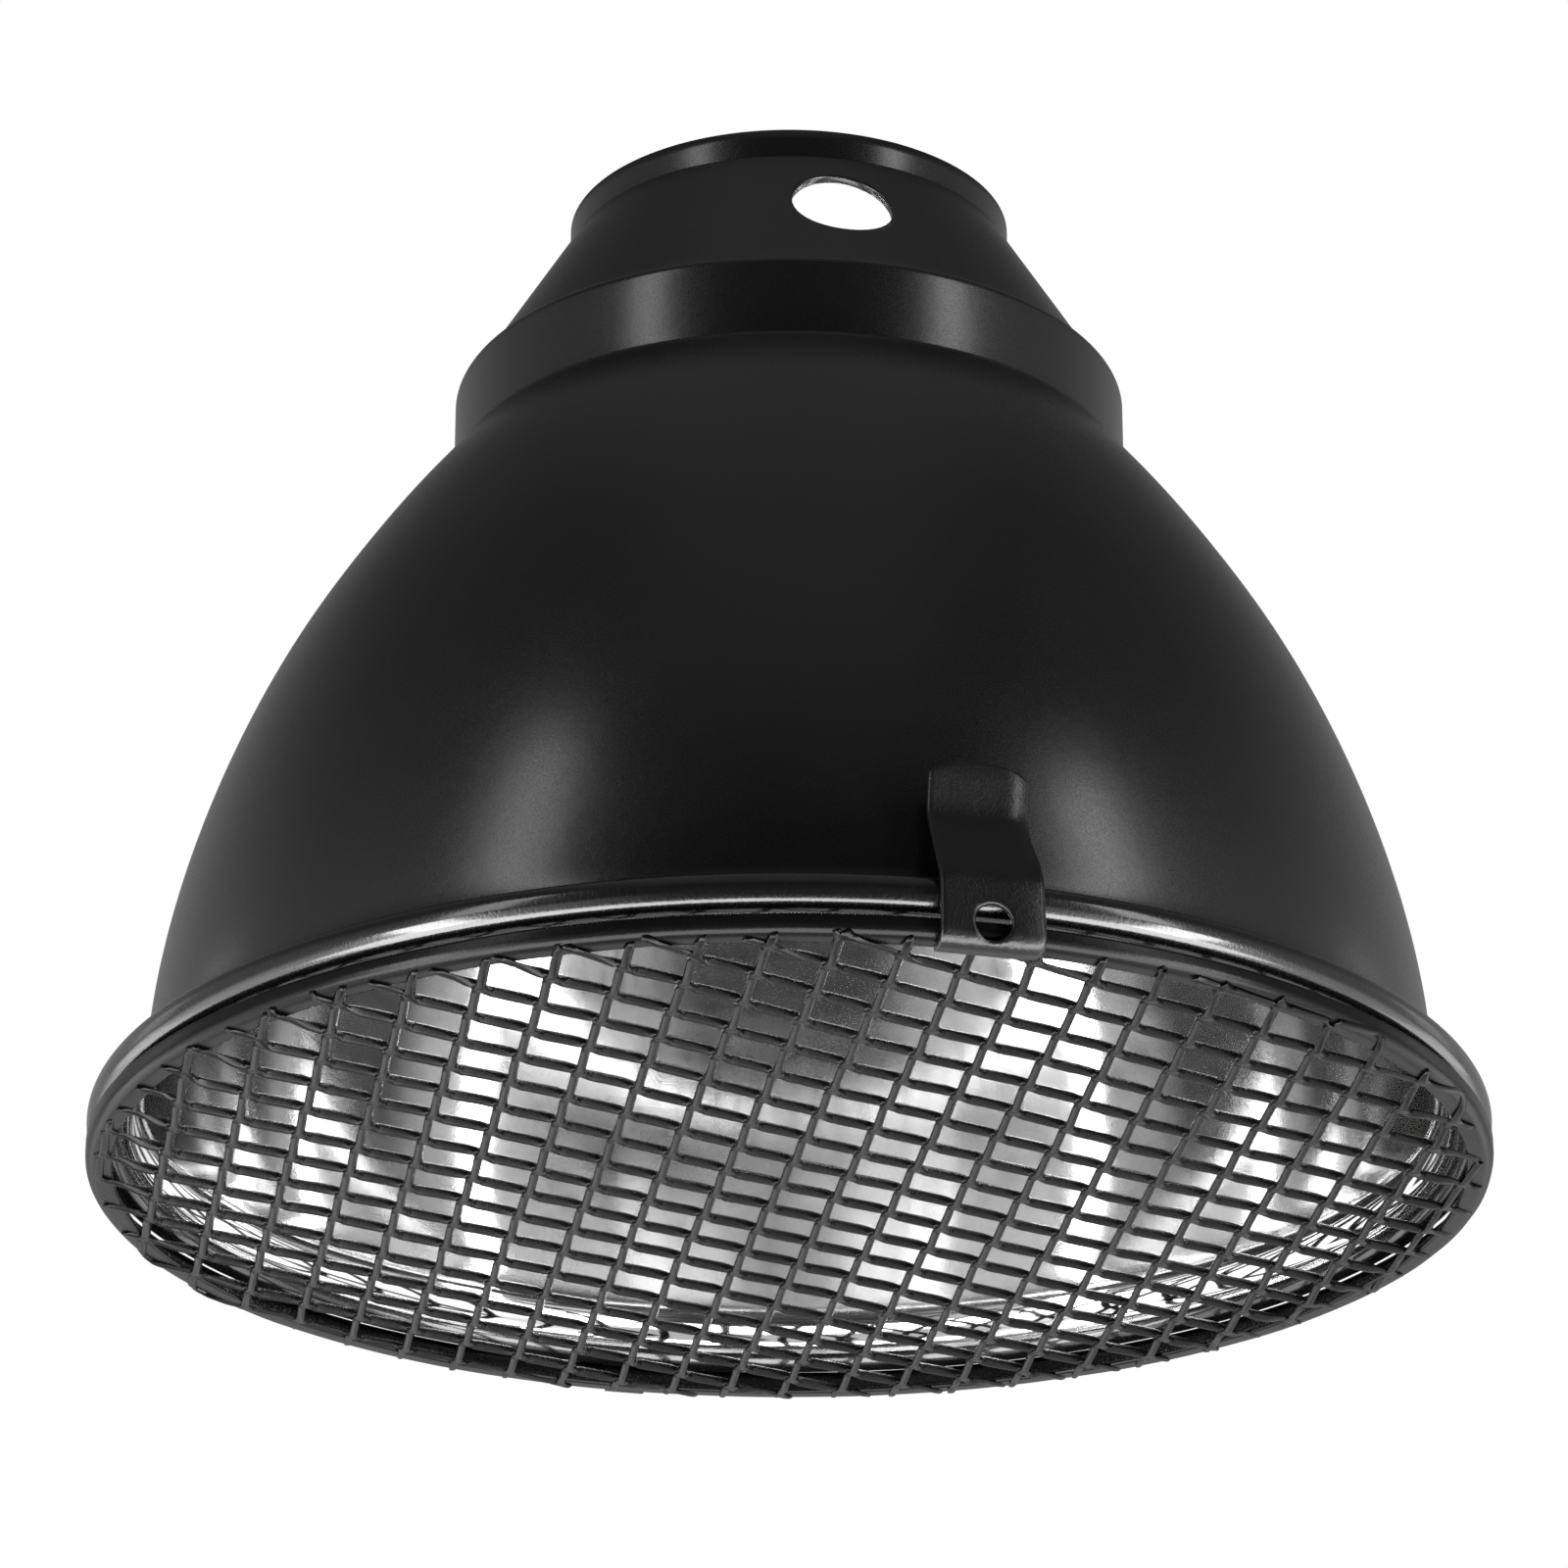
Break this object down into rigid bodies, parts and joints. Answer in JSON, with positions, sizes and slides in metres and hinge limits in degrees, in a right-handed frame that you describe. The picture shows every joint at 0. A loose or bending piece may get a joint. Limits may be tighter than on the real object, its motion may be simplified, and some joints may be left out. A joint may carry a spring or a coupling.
{
  "type": "heat lamp shade",
  "caption": "Deep-dome metal heat lamp shade with an open neck collar, vent holes, a rolled rim and a hinged expanded-metal guard held shut by a spring clip.",
  "frame": {"origin": "centre of the mouth, in the plane of the guard mesh's underside", "axes": "+Z along the shade's own axis from the mouth to the neck, -Y towards the front, with the latch clip just right of it"},
  "size_m": [0.151, 0.1533, 0.1175],
  "materials": {
    "shade_metal": "satin black powder coat outside, bright polished aluminium inside",
    "guard_paint": "satin black powder coat",
    "pin_steel": "plain steel wire"
  },
  "bodies": {
    "shade": {"shade_shell": "shade_metal", "hinge_bracket": "guard_paint", "hinge_pin": "pin_steel"},
    "guard": {"guard_ring": "guard_paint", "guard_mesh": "guard_paint", "hinge_leaf": "guard_paint"},
    "latch": {"latch_clip": "guard_paint"}
  },
  "joints": [
    {"name": "guard_hinge", "type": "hinge", "parent": "shade", "child": "guard", "pos_m": [-0.01883, 0.07497, 0.0034], "axis": [0.9699, 0.2436, 0], "range_deg": [0, 110], "deforming": ["latch_clip"]},
    {"name": "latch_flex", "type": "hinge", "parent": "guard", "child": "latch", "pos_m": [0.01849, -0.07361, 0.0004], "axis": [0.9699, 0.2436, 0], "range_deg": [0, 15], "stiffness_Nm_per_rad": 1.5, "deforming": ["latch_clip"]}
  ]
}
